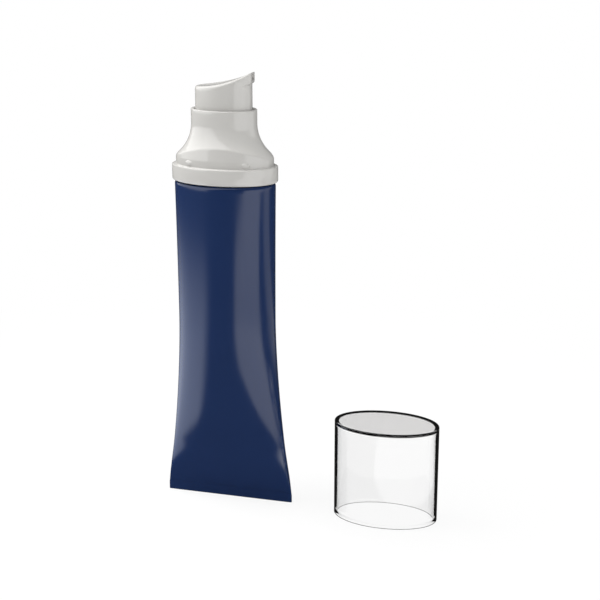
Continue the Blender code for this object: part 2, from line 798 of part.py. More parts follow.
def main():
    navy = paint("navy_laminate", (0.011, 0.026, 0.091), 0.28)
    ivory = (0.56, 0.55, 0.52)
    make_tube_sleeve(navy)
    make_tube_head(paint("head_polyethylene", (0.60, 0.60, 0.58), 0.45))
    make_collar(paint("collar_polypropylene", ivory, 0.38))
    make_closure(paint("closure_polypropylene", (0.70, 0.70, 0.69), 0.40))
    make_gasket(paint("gasket_elastomer", (0.30, 0.30, 0.30), 0.70))
    make_housing(paint("housing_polypropylene", (0.78, 0.78, 0.77), 0.35))
    make_ball_cage(paint("cage_polypropylene", (0.74, 0.74, 0.73), 0.40))
    make_guide(paint("guide_acetal", (0.80, 0.80, 0.78), 0.35))
    ball = make_inlet_ball(paint("ball_steel", (0.62, 0.62, 0.64), 0.15, metallic=1.0))
    stem = make_stem(paint("stem_acetal", (0.82, 0.82, 0.80), 0.35))
    rod = make_poppet(paint("rod_acetal", (0.66, 0.66, 0.64), 0.40))
    piston = make_piston(paint("piston_polyethylene", (0.72, 0.74, 0.76), 0.45))
    make_spring(paint("spring_steel", (0.60, 0.60, 0.62), 0.22, metallic=1.0))
    actuator = make_actuator(paint("button_polypropylene", ivory, 0.36))
    cap = make_overcap(paint("cap_clear", (0.95, 0.95, 0.95), 0.03, transmission=1.0))
    make_joint("stroke_axis", spring_bottom, (actuator, stem, rod))
    make_joint("piston_axis", piston_bottom, (piston,))
    make_joint("ball_axis", ball_height, (ball,))
    make_joint("cap_axis", 0, (cap,), cap_stand_x, cap_stand_y)


main()
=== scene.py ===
import math
import bmesh
import bpy
import numpy as np
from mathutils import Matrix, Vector


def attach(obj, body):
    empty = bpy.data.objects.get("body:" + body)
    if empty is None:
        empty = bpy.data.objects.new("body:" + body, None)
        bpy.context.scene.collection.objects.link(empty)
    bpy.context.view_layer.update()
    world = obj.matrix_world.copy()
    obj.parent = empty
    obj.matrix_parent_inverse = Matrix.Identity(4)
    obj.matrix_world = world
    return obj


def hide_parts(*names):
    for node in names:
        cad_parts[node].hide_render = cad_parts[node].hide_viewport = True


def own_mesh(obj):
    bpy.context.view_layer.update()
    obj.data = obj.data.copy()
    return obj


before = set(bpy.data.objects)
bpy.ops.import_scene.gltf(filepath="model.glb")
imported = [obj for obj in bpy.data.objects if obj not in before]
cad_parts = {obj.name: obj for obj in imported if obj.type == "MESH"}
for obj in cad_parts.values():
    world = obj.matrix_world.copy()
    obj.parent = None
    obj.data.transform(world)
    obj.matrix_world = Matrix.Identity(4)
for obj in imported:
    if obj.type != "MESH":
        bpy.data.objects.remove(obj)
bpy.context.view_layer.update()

mm = 0.001                      # the sizes below are in millimetres
sharpTurn = math.radians(40)    # edges that bend more than this stay sharp on an otherwise smooth piece


def addObject(name, data):
    made = bpy.data.objects.new(name, data)
    bpy.context.scene.collection.objects.link(made)
    return made


# Camera, at the photograph's angle

camera = {
    "place": (171.498, -506.494, 248.660),
    "tilt": 16.797,             # degrees down
    "turn": 15.488,             # degrees round from the front
    "lens": 81.381,
    "sensor": 36,
}


def addCamera(values):
    lensData = bpy.data.cameras.new("studioCamera")
    lensData.lens = values["lens"]
    lensData.sensor_width = values["sensor"]
    lensData.clip_start = 0.02
    lensData.clip_end = 30
    eye = addObject("studioCamera", lensData)
    eye.location = Vector(values["place"]) * mm
    eye.rotation_euler = (math.radians(90 - values["tilt"]), 0, math.radians(values["turn"]))
    bpy.context.scene.camera = eye


addCamera(camera)
print("camera placed")


# Helpers for surfaces: a piece is a grid of points, row by column, and the columns close round

def meshFromGrid(name, grid, wrapRows=False):
    # quads join each point with the next column and the next row; wrapRows joins the last row to the
    # first, and otherwise each end row closes on its own middle point
    rows, columns = grid.shape[:2]
    points = grid.reshape(-1, 3)
    index = np.arange(rows * columns).reshape(rows, columns)
    lower = index if wrapRows else index[:-1]
    upper = np.roll(index, -1, axis=0) if wrapRows else index[1:]
    quads = np.stack([lower, np.roll(lower, -1, axis=1), np.roll(upper, -1, axis=1), upper], axis=-1)
    faces = quads.reshape(-1, 4).tolist()
    if not wrapRows:
        middles = np.array([grid[0].mean(axis=0), grid[-1].mean(axis=0)])
        points = np.vstack([points, middles])
        first = np.full(columns, rows * columns)
        faces += np.stack([first, np.roll(index[0], -1), index[0]], axis=-1).tolist()
        faces += np.stack([first + 1, index[-1], np.roll(index[-1], -1)], axis=-1).tolist()
    mesh = bpy.data.meshes.new(name)
    mesh.from_pydata((points * mm).tolist(), [], faces)
    return mesh


def addPiece(name, mesh, body, nodes, look):
    # one shown piece: faces turned out, smooth, riding on its body in place of its nodes
    shape = bmesh.new()
    shape.from_mesh(mesh)
    bmesh.ops.recalc_face_normals(shape, faces=shape.faces)
    shape.to_mesh(mesh)
    shape.free()
    mesh.shade_smooth()
    mesh.materials.append(look)
    piece = addObject(name, mesh)
    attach(piece, body)
    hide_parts(*nodes)
    return piece


def ellipseRow(halfWidth, halfDepth, height, angle):
    # x = half width times cosine, y = half depth times sine
    x = halfWidth * np.cos(angle)
    y = halfDepth * np.sin(angle)
    return np.stack([x, y, np.broadcast_to(height, angle.shape)], axis=-1)


def arcSteps(centreOut, centreHeight, radius, startTurn, endTurn, count):
    # fillet in a section: (out, height) = centre + radius times (cosine, sine)
    turn = np.radians(np.linspace(startTurn, endTurn, count))
    return list(zip(centreOut + radius * np.cos(turn), centreHeight + radius * np.sin(turn)))


def smoothLess(first, second, softness):
    # the lesser of two, with the corner between them rounded over the softness
    share = np.clip(0.5 + 0.5 * (second - first) / softness, 0, 1)
    return second * (1 - share) + first * share - softness * share * (1 - share)


# Helpers for finishes

def newLook(name):
    # a material with its nodes, its shader and the place on the piece, in metres
    look = bpy.data.materials.new(name)
    look.use_nodes = True
    tree = look.node_tree
    place = addNode(tree, "ShaderNodeTexCoord").outputs["Object"]
    return look, tree, tree.nodes["Principled BSDF"], place


def addNode(tree, kind, values=None, **settings):
    node = tree.nodes.new(kind)
    for key, value in settings.items():
        setattr(node, key, value)
    for key, value in (values or {}).items():
        node.inputs[key].default_value = value
    return node


def mixColours(tree, factor, first, second, blend="MIX"):
    # colour between two, by a factor; either colour may be a fixed one or a socket
    node = addNode(tree, "ShaderNodeMix", data_type="RGBA", blend_type=blend)
    tree.links.new(factor, node.inputs[0])
    for socket, colour in ((node.inputs[6], first), (node.inputs[7], second)):
        if isinstance(colour, bpy.types.NodeSocket):
            tree.links.new(colour, socket)
        else:
            socket.default_value = (*colour, 1)
    return node.outputs[2]


def combine(tree, operation, first, second):
    # math of two values, each a socket or a number
    node = addNode(tree, "ShaderNodeMath", operation=operation)
    for socket, value in zip(node.inputs, (first, second)):
        if isinstance(value, bpy.types.NodeSocket):
            tree.links.new(value, socket)
        else:
            socket.default_value = value
    return node.outputs[0]


def showMixed(tree, factor, first, second):
    # the material's surface is the first shader where the factor is 0 and the second where it is 1
    mixed = addNode(tree, "ShaderNodeMixShader")
    tree.links.new(factor, mixed.inputs[0])
    tree.links.new(first.outputs[0], mixed.inputs[1])
    tree.links.new(second.outputs[0], mixed.inputs[2])
    tree.links.new(mixed.outputs[0], tree.nodes["Material Output"].inputs["Surface"])


def mapRange(tree, source, fromLow, fromHigh, toLow, toHigh, smooth=False):
    node = addNode(tree, "ShaderNodeMapRange",
                   {"From Min": fromLow, "From Max": fromHigh, "To Min": toLow, "To Max": toHigh})
    if smooth:
        node.interpolation_type = "SMOOTHSTEP"
    tree.links.new(source, node.inputs["Value"])
    return node.outputs["Result"]


def setColour(tree, shader, factor, first, second):
    tree.links.new(mixColours(tree, factor, first, second), shader.inputs["Base Color"])


def setRoughness(tree, shader, noise, limits, noiseLow=0.3, noiseHigh=0.7):
    # the noise seldom leaves the two levels given for it, which are spread over the limits
    tree.links.new(mapRange(tree, noise, noiseLow, noiseHigh, *limits), shader.inputs["Roughness"])


def noiseOf(tree, place, size, detail=2.0, roughness=0.5, stretch=(1, 1, 1)):
    # noise whose grains are about size millimetres across, drawn out along an axis by stretch
    mapping = addNode(tree, "ShaderNodeMapping")
    mapping.inputs["Scale"].default_value = [1 / (size * mm * way) for way in stretch]
    tree.links.new(place, mapping.inputs["Vector"])
    noise = addNode(tree, "ShaderNodeTexNoise", {"Scale": 1.0, "Detail": detail, "Roughness": roughness})
    tree.links.new(mapping.outputs["Vector"], noise.inputs["Vector"])
    return noise.outputs["Fac"]


def addBump(tree, shader, height, depth, before=None):
    # depth is the relief in millimetres
    bump = addNode(tree, "ShaderNodeBump", {"Strength": 1.0, "Distance": depth * mm})
    tree.links.new(height, bump.inputs["Height"])
    if before is not None:
        tree.links.new(before, bump.inputs["Normal"])
    tree.links.new(bump.outputs["Normal"], shader.inputs["Normal"])
    return bump.outputs["Normal"]


# Finishes

laminate = {
    "colour": (0.0085, 0.0235, 0.083),
    "cloud": (0.0100, 0.0265, 0.092),    # slow change of the ink over the sleeve
    "cloudSize": 22,
    "roughness": (0.150, 0.185),
    "streak": 0.9,                       # the film is drawn along the sleeve
    "streakStretch": (1, 1, 14),
    "orangePeel": 1.6,                   # size and depth of the film's slight waviness
    "orangePeelDepth": 0.0012,
    "grain": 0.22,
    "grainDepth": 0.0006,
    "refraction": 1.5,
}


def makeLaminateLook(values):
    look, tree, shader, place = newLook("navyLaminate")
    cloud = noiseOf(tree, place, values["cloudSize"], 3.0)
    setColour(tree, shader, cloud, values["colour"], values["cloud"])
    streak = noiseOf(tree, place, values["streak"], 2.0, 0.5, values["streakStretch"])
    setRoughness(tree, shader, streak, values["roughness"])
    peel = addBump(tree, shader, noiseOf(tree, place, values["orangePeel"], 1.0), values["orangePeelDepth"])
    addBump(tree, shader, noiseOf(tree, place, values["grain"], 2.0), values["grainDepth"], peel)
    shader.inputs["IOR"].default_value = values["refraction"]
    return look


moulding = {
    "colour": (0.560, 0.551, 0.532),
    "shade": (0.545, 0.536, 0.516),
    "cloudSize": 9,
    "roughness": (0.06, 0.09),
    "grain": 0.20,
    "grainDepth": 0.0006,
    "refraction": 1.55,
}


def makeMouldingLook(name, values):
    # natural off-white polypropylene from a finely eroded mould
    look, tree, shader, place = newLook(name)
    cloud = noiseOf(tree, place, values["cloudSize"], 3.0)
    setColour(tree, shader, cloud, values["colour"], values["shade"])
    grain = noiseOf(tree, place, values["grain"], 3.0, 0.6)
    setRoughness(tree, shader, grain, values["roughness"])
    addBump(tree, shader, grain, values["grainDepth"])
    shader.inputs["IOR"].default_value = values["refraction"]
    return look


clear = {
    "tint": (0.985, 0.985, 0.985),
    "roofTint": (0.975, 0.965, 0.96),    # the roof is thicker and slightly smoky
    "roofHeight": (39.5, 39.7),
    "roughness": (0.004, 0.016),
    "haze": 6.0,                         # size of the patches in which the roughness changes
    "flow": 5.0,                         # faint flow waves from the mould, size and depth
    "flowDepth": 0.004,
    "refraction": 1.49,
    "bounces": 2.5,                      # ray depth past which a ray inside the wall is painted black, a painted dark edge
    "slant": 0.12,                       # 1 - cosine of the angle past which one reflection inside the wall is painted black as well
    "shadow": (0.86, 0.87, 0.875),
}


def makeClearLook(values):
    # clear plastic: rays reflected inside the wall past a few bounces, or by one slanting reflection,
    # get a black base colour, a painted dark edge, and the cap throws only a light shadow
    look, tree, shader, place = newLook("clearCap")
    path = addNode(tree, "ShaderNodeLightPath")
    side = addNode(tree, "ShaderNodeNewGeometry")
    facing = addNode(tree, "ShaderNodeLayerWeight").outputs["Facing"]
    # painted shade: rays reflected inside the wall past the ray depth or the slant get a black base colour,
    # a painted dark edge
    inside = combine(tree, "MULTIPLY", path.outputs["Is Reflection Ray"], side.outputs["Backfacing"])
    often = combine(tree, "GREATER_THAN", path.outputs["Ray Depth"], values["bounces"])
    slanting = combine(tree, "GREATER_THAN", facing, values["slant"])
    paintedDarkEdge = combine(tree, "MULTIPLY", inside, combine(tree, "MAXIMUM", often, slanting))
    parts = addNode(tree, "ShaderNodeSeparateXYZ")
    tree.links.new(place, parts.inputs[0])
    roof = mapRange(tree, parts.outputs["Z"], *[value * mm for value in values["roofHeight"]], 0, 1)
    tint = mixColours(tree, roof, values["tint"], values["roofTint"])
    # the tint, painted black where the painted dark edge mask is set
    setColour(tree, shader, paintedDarkEdge, tint, (0, 0, 0))
    haze = noiseOf(tree, place, values["haze"], 4.0)
    setRoughness(tree, shader, haze, values["roughness"], 0.35, 0.75)
    addBump(tree, shader, noiseOf(tree, place, values["flow"], 1.0, 0.4, (1, 1, 3)), values["flowDepth"])
    shader.inputs["IOR"].default_value = values["refraction"]
    shader.inputs["Transmission Weight"].default_value = 1.0
    through = addNode(tree, "ShaderNodeBsdfTransparent", {"Color": (*values["shadow"], 1)})
    showMixed(tree, path.outputs["Is Shadow Ray"], shader, through)
    return look


laminateLook = makeLaminateLook(laminate)
collarLook = makeMouldingLook("collarMoulding", moulding)
buttonLook = makeMouldingLook("buttonMoulding", {**moulding, "grain": 0.26, "cloudSize": 7})
clearLook = makeClearLook(clear)
print("finishes made")


# Sleeve: laminate tube, crimped flat at the foot, waisted, turned in at the shoulder

sleeve = {
    "height": 137.3,
    "wall": 0.5,
    "crimpHalfWidth": 27.5,
    "crimpHeight": 4.3,
    "crimpHalfThickness": 0.5,
    "crimpEdge": 0.2,
    "sealDepth": 2.0,
    "waistHeight": 80.0,
    "waistHalfWidth": 20.45,
    "footSpread": 7.55,
    "footPower": 1.65,
    "topSpread": 0.45,
    "bellyHalfDepth": 13.35,
    "shoulderHalfDepth": 12.75,
    "closingPower": 0.85,
    "shoulderRadius": 1.2,
    "lipReach": 2.2,
    "lipBevel": 0.1,
    "cornerPower": 8.0,
    "cornerReach": 26.0,
    "columns": 288,
    "rows": 120,
    "rowPower": (1.3, 1.4),              # how the rows crowd at the foot, outside and inside
}


def sleeveHalfWidth(z):
    # waist plus a spread that grows as a power of the depth below it, up to the flat foot's width
    depth = np.clip(1 - z / sleeve["waistHeight"], 0, 1)
    low = sleeve["waistHalfWidth"] + sleeve["footSpread"] * depth ** sleeve["footPower"]
    rise = np.clip((z - sleeve["waistHeight"]) / (sleeve["height"] - sleeve["waistHeight"]), 0, 1)
    return np.minimum(sleeve["crimpHalfWidth"], low) + sleeve["topSpread"] * rise ** 2


def sleeveHalfDepth(z):
    # from the flat crimp a quarter sine opens it to the belly, then it thins a little to the shoulder
    rise = np.clip((z - sleeve["crimpHeight"]) / (sleeve["waistHeight"] - sleeve["crimpHeight"]), 0, 1)
    swell = np.sin(np.pi / 2 * rise ** sleeve["closingPower"])
    top = np.clip((z - sleeve["waistHeight"]) / (sleeve["height"] - sleeve["waistHeight"]), 0, 1)
    flat = sleeve["crimpHalfThickness"]
    full = sleeve["bellyHalfDepth"]
    return flat + (full - flat) * swell - (full - sleeve["shoulderHalfDepth"]) * top ** 2


def sleeveRow(z, inset, angle):
    # superellipse: |x/a|^p + |y/b|^p = 1, where p falls from the crimp's square ends to 2, an oval
    level = np.clip(z / sleeve["cornerReach"], 0, 1)
    power = 2 + (sleeve["cornerPower"] - 2) * (1 - level) ** 2
    across = np.cos(angle)
    halfWidth = sleeveHalfWidth(z) - inset
    halfDepth = sleeveHalfDepth(z) - inset
    x = halfWidth * across
    y = halfDepth * (1 - np.abs(across) ** power) ** (1 / power) * np.sign(np.sin(angle))
    return np.stack([x, y, np.full_like(x, z)], axis=-1)


def makeSleeve():
    angle = np.linspace(0, 2 * np.pi, sleeve["columns"], endpoint=False)
    edge = sleeve["crimpEdge"]
    crimp = sleeve["crimpHeight"]
    straightTop = sleeve["height"] - sleeve["shoulderRadius"]
    outerPower, innerPower = sleeve["rowPower"]
    rows = []
    for inset, z in arcSteps(edge, edge, edge, -90, -180, 5):
        row = sleeveRow(edge, inset, angle)
        row[:, 2] = z
        rows.append(row)
    rows += [sleeveRow(z, 0, angle) for z in np.linspace(edge, crimp, 8)[1:]]
    way = np.linspace(0, 1, sleeve["rows"])[1:] ** outerPower
    rows += [sleeveRow(z, 0, angle) for z in crimp + (straightTop - crimp) * way]
    top = sleeve["height"]
    halfWidth = sleeveHalfWidth(top)
    halfDepth = sleeveHalfDepth(top)
    radius = sleeve["shoulderRadius"]
    turnedIn = arcSteps(radius, straightTop, radius, 180, 90, 10)[1:]
    lip = sleeve["lipReach"]
    bevel = sleeve["lipBevel"]
    turnedIn += [(lip - bevel, top), (lip, top - bevel), (lip, top - sleeve["wall"])]
    turnedIn += arcSteps(radius, straightTop, radius - sleeve["wall"], 90, 180, 6)
    rows += [ellipseRow(halfWidth - inset, halfDepth - inset, z, angle) for inset, z in turnedIn]
    innerFoot = crimp + sleeve["sealDepth"]
    way = np.linspace(1, 0, 30)[1:] ** innerPower
    rows += [sleeveRow(z, sleeve["wall"], angle) for z in innerFoot + (straightTop - innerFoot) * way]
    return meshFromGrid("tubeSleeve", np.array(rows))


addPiece("tubeSleeve", makeSleeve(), "tube", ["tube_sleeve"], laminateLook)
print("sleeve made")


# Collar: ledge ring, band with snap beads, and a bell that is an oval wall cut by the neck's flare

collar = {
    "bottom": 137.6,
    "top": 166.45,
    "ring": (21.85, 13.35),
    "ringTop": 144.15,
    "ringFootRadius": 1.0,
    "ringTopRadius": 0.3,
    "ledge": 1.4,
    "band": (20.2, 11.7),
    "bandTop": 147.1,
    "bandFillet": 0.25,
    "lean": 0.5,
    "leanHeight": 5.9,
    "neck": (13.45, 9.1),
    "flareTop": 161.0,
    "flareRadius": 16.1,
    "frontSink": 0.8,                    # the flare starts this much lower at the front and back
    "sinkSpread": 2.0,
    "sinkPower": 4,
    "rimRadius": 0.3,
    "rimInnerRadius": 0.2,
    "wall": 1.3,
    "creaseFront": 0.25,                 # how softly the arched facet's edge is rounded
    "creaseEnd": 1.6,
    "creasePower": 6,
    "beadPlace": (11.716, 9.53, 145.78),
    "beadSize": (1.7, 1.0, 0.5),         # half length, half height, rise
    "ribPlace": 10.6,
    "ribSize": (1.0, 18.4, 8.3),
    "ribBottom": 141.0,
    "columns": 480,
    "rowPower": 1.7,                     # how the rows crowd at the crease
}


def reachOfOval(halfWidth, halfDepth, across, along):
    # distance from the axis to an oval in a given direction
    return 1 / np.sqrt((across / halfWidth) ** 2 + (along / halfDepth) ** 2)


def flareOut(z, sink=0.0):
    # quarter round: the bell stands out from the neck by radius - sqrt(radius^2 - drop^2)
    radius = collar["flareRadius"]
    most = radius - 0.1                  # short of the quarter's end, where the slope has no limit
    drop = np.clip(collar["flareTop"] - sink - z, 0, most)
    level = np.sqrt(radius ** 2 - drop ** 2)
    return radius - level, drop / level


def wallReach(z, across, along):
    # the oval wall above the band, which leans in as it rises
    lean = collar["lean"] * np.clip(z - collar["bandTop"], 0, None) / collar["leanHeight"]
    return reachOfOval(collar["band"][0] - lean, collar["band"][1] - lean, across, along)


def bellReach(z, across, along):
    # the neck's oval and the flare's reach out of it, lower where the direction points front or back
    frontal = np.abs(along) / np.hypot(along, across / collar["sinkSpread"])
    sink = collar["frontSink"] * frontal ** collar["sinkPower"]
    out = flareOut(z, sink)[0]
    return reachOfOval(collar["neck"][0] + out, collar["neck"][1] + out, across, along)


def creaseHeight(across, along):
    # height at which the bell leaves the oval wall, found by halving
    low = np.full_like(across, collar["bandTop"])
    high = np.full_like(across, collar["flareTop"])
    for halving in range(40):
        middle = (low + high) / 2
        outside = bellReach(middle, across, along) > wallReach(middle, across, along)
        low = np.where(outside, middle, low)
        high = np.where(outside, high, middle)
    return (low + high) / 2


def beadRise(place, z):
    # each snap bead is a low cap: rise times sqrt(1 - s^2 - h^2), s along the wall and h up it
    halfLength, halfHeight, rise = collar["beadSize"]
    x, y, middle = collar["beadPlace"]
    total = np.zeros(place.shape[0])
    for sideX in (1, -1):
        for sideY in (1, -1):
            away = np.hypot(place[:, 0] - sideX * x, place[:, 1] - sideY * y) / halfLength
            total += rise * np.sqrt(np.clip(1 - away ** 2 - ((z - middle) / halfHeight) ** 2, 0, 1))
    return total


def makeCollar():
    count = collar["columns"]
    turn = np.linspace(0, 2 * np.pi, count, endpoint=False)
    direction = np.arctan2(collar["band"][1] * np.sin(turn), collar["band"][0] * np.cos(turn))
    across = np.cos(direction)
    along = np.sin(direction)

    def rowAt(reach, z):
        return np.stack([reach * across, reach * along, np.broadcast_to(z, reach.shape)], axis=-1)

    def ovalRow(half, out, z):
        return rowAt(reachOfOval(half[0] + out, half[1] + out, across, along), z)

    def bellRow(z):
        bell = bellReach(z, across, along)
        return rowAt(smoothLess(wallReach(z, across, along), bell, softness), z)

    inner = collar["ring"][0] - collar["band"][0] - collar["wall"]
    foot = collar["ringFootRadius"]
    edge = collar["ringTopRadius"]
    fillet = collar["bandFillet"]
    bottom = collar["bottom"]
    ringTop = collar["ringTop"]
    bandTop = collar["bandTop"]
    flareTop = collar["flareTop"]
    top = collar["top"]
    ringSteps = arcSteps(-foot, bottom + foot, foot, -90, 0, 8)
    ringSteps += arcSteps(-edge, ringTop - edge, edge, 0, 90, 7)
    rows = [ovalRow(collar["band"], inner, bottom)]
    rows += [ovalRow(collar["ring"], out, z) for out, z in ringSteps]
    for out, z in arcSteps(fillet, ringTop + fillet, fillet, 270, 180, 5):
        rows.append(ovalRow(collar["band"], out, z))
    for z in np.linspace(ringTop + fillet, bandTop, 30)[1:]:
        row = ovalRow(collar["band"], 0, z)
        rise = beadRise(row, z)
        rows.append(row + np.stack([across * rise, along * rise, 0 * rise], axis=-1))

    crease = creaseHeight(across, along)
    sideways = np.abs(np.cos(turn)) ** collar["creasePower"]
    softness = collar["creaseFront"] + (collar["creaseEnd"] - collar["creaseFront"]) * sideways
    below = 1 - np.linspace(1, 0, 22)[1:] ** collar["rowPower"]
    above = np.linspace(0, 1, 62)[1:] ** collar["rowPower"]
    rows += [bellRow(bandTop + (crease - bandTop) * way) for way in below]
    rows += [bellRow(crease + (flareTop - crease) * way) for way in above]
    rim = collar["rimRadius"]
    innerRim = collar["rimInnerRadius"]
    wall = collar["wall"]
    neckSteps = [(0, z) for z in np.linspace(flareTop, top - rim, 5)[1:]]
    neckSteps += arcSteps(-rim, top - rim, rim, 0, 90, 6)[1:]
    neckSteps += arcSteps(-wall + innerRim, top - innerRim, innerRim, 90, 180, 4)
    rows += [ovalRow(collar["neck"], out, z) for out, z in neckSteps]
    for z in np.linspace(flareTop, bandTop, 24):
        out, slope = flareOut(z)
        inset = wall * math.sqrt(1 + slope ** 2)
        side = collar["lean"] * (z - bandTop) / collar["leanHeight"] + wall
        halfWidth = min(collar["neck"][0] + out - inset, collar["band"][0] - side)
        halfDepth = min(collar["neck"][1] + out - inset, collar["band"][1] - side)
        rows.append(ovalRow((halfWidth, halfDepth), 0, z))
    underLedge = ringTop - collar["ledge"]
    rows.append(ovalRow(collar["band"], -wall, underLedge))
    rows.append(ovalRow(collar["band"], inner, underLedge))
    mesh = meshFromGrid("pumpCollar", np.array(rows), wrapRows=True)

    shape = bmesh.new()
    shape.from_mesh(mesh)
    length, width, height = collar["ribSize"]
    for side in (1, -1):
        # inner rib that grips the closure, from a cube with its middle at the origin
        for corner in bmesh.ops.create_cube(shape, size=1)["verts"]:
            corner.co.x = (side * collar["ribPlace"] + corner.co.x * length) * mm
            corner.co.y = corner.co.y * width * mm
            corner.co.z = (collar["ribBottom"] + (corner.co.z + 0.5) * height) * mm
    shape.to_mesh(mesh)
    shape.free()
    return mesh


addPiece("pumpCollar", makeCollar(), "tube", ["pump_collar"], collarLook)
print("collar made")


# Button: oval skirt, scooped top and a beak with the orifice

button = {
    "half": (11.65, 7.3),
    "foot": 160.3,
    "footRadius": 0.3,
    "skirtTop": 166.5,                   # below this the skirt's rows are level
    "wall": 1.1,
    "roof": 1.3,
    "innerTop": 172.0,                   # below this the inner wall is straight
    "topCentre": (-12.0, 175.3),         # lowest point of the finger rest's curve
    "topRadius": 53.0,
    "edgeRadius": 1.2,
    "tipEdgeRadius": 0.4,
    "dish": 0.4,
    "beakRoot": 8.5,
    "beakTip": 12.15,
    "beakHeight": 175.5,
    "beakSlope": 0.36,
    "outlineRise": 0.12,                 # of the beak's outline over the slanted underside
    "tipLength": 0.6,
    "sideShare": 0.62,                   # shares of the columns that the beak's side and corner take
    "tipShare": 0.86,
    "cornerRadius": 0.55,
    "cornerDrop": 1.0,                   # the skirt's last row lies this far under the beak
    "fillet": 0.35,
    "tipFillet": 0.9,
    "orificeRadius": 1.0,
    "orificeDepth": 4.5,
    "overrun": 2.0,                      # of the bore's tool past the tip
    "orificeHeight": 179.0,
    "ductRise": 0.592,
    "bossRadius": 4.6,
    "bossFoot": 163.3,
    "bossSink": 1.1,                     # how far under the finger rest's curve the boss ends, in the roof
    "socketRadius": 2.75,
    "socketTop": 168.3,
    "ductRadii": (1.02, 1.8),
    "ductReach": (2.6, 10.5),            # from the orifice back to the duct's two ends
    "columns": 360,
}


def fingerRest(x):
    # arc that climbs towards the beak: lowest + radius - sqrt(radius^2 - (x - centre)^2)
    lowX, lowZ = button["topCentre"]
    return lowZ + button["topRadius"] - np.sqrt(button["topRadius"] ** 2 - (x - lowX) ** 2)


def beakPlan(angle):
    # the oval, and past the beak's root its tangent, drawn out straight to a blunt tip whose corners
    # are cut by a quadratic curve
    halfWidth, halfDepth = button["half"]
    rootTurn = math.acos(button["beakRoot"] / halfWidth)
    rootY = halfDepth * math.sin(rootTurn)
    slope = (halfDepth / halfWidth) ** 2 * button["beakRoot"] / rootY
    root = np.array([button["beakRoot"], rootY])
    corner = np.array([button["beakTip"], rootY - slope * (button["beakTip"] - button["beakRoot"])])
    back = (root - corner) / np.linalg.norm(root - corner) * button["cornerRadius"]
    across = np.array([0, -button["cornerRadius"]])
    ways = np.linspace(0, 1, 9)[:, None]
    rounded = corner + back * (1 - ways) ** 2 + across * ways ** 2
    line = np.vstack([root, rounded, [button["beakTip"], 0]])
    share = np.concatenate([[0], np.linspace(button["sideShare"], button["tipShare"], 9), [1]])
    turn = np.abs((angle + np.pi) % (2 * np.pi) - np.pi)
    way = 1 - turn / rootTurn
    x = np.where(way > 0, np.interp(way, share, line[:, 0]), halfWidth * np.cos(angle))
    y = np.where(way > 0, np.interp(way, share, line[:, 1]), halfDepth * np.abs(np.sin(angle)))
    return np.stack([x, y * np.sign(np.sin(angle))], axis=-1)


def insetOf(plan, distance):
    # the plan moved in, square to its own line
    run = np.roll(plan, -1, axis=0) - np.roll(plan, 1, axis=0)
    inward = np.stack([-run[:, 1], run[:, 0]], axis=-1)
    inward /= np.linalg.norm(inward, axis=-1, keepdims=True)
    return plan + inward * distance


def turnCorner(before, corner, after, reach, count):
    # quadratic curve that cuts a corner: it leaves the corner's two sides at the given reach, or nearer
    # where a side is short
    most = 0.45                          # of a side
    first = before - corner
    second = after - corner
    firstLength = np.linalg.norm(first, axis=-1, keepdims=True)
    secondLength = np.linalg.norm(second, axis=-1, keepdims=True)
    start = corner + first / firstLength * np.minimum(reach, most * firstLength)
    end = corner + second / secondLength * np.minimum(reach, most * secondLength)
    ways = np.linspace(0, 1, count)
    return [start * (1 - w) ** 2 + corner * 2 * w * (1 - w) + end * w ** 2 for w in ways]


def ovalPlan(halfWidth, halfDepth, angle):
    return np.stack([halfWidth * np.cos(angle), halfDepth * np.sin(angle)], axis=-1)


def withHeight(plan, height):
    return np.concatenate([plan, np.broadcast_to(height, plan.shape[:1])[:, None]], axis=-1)


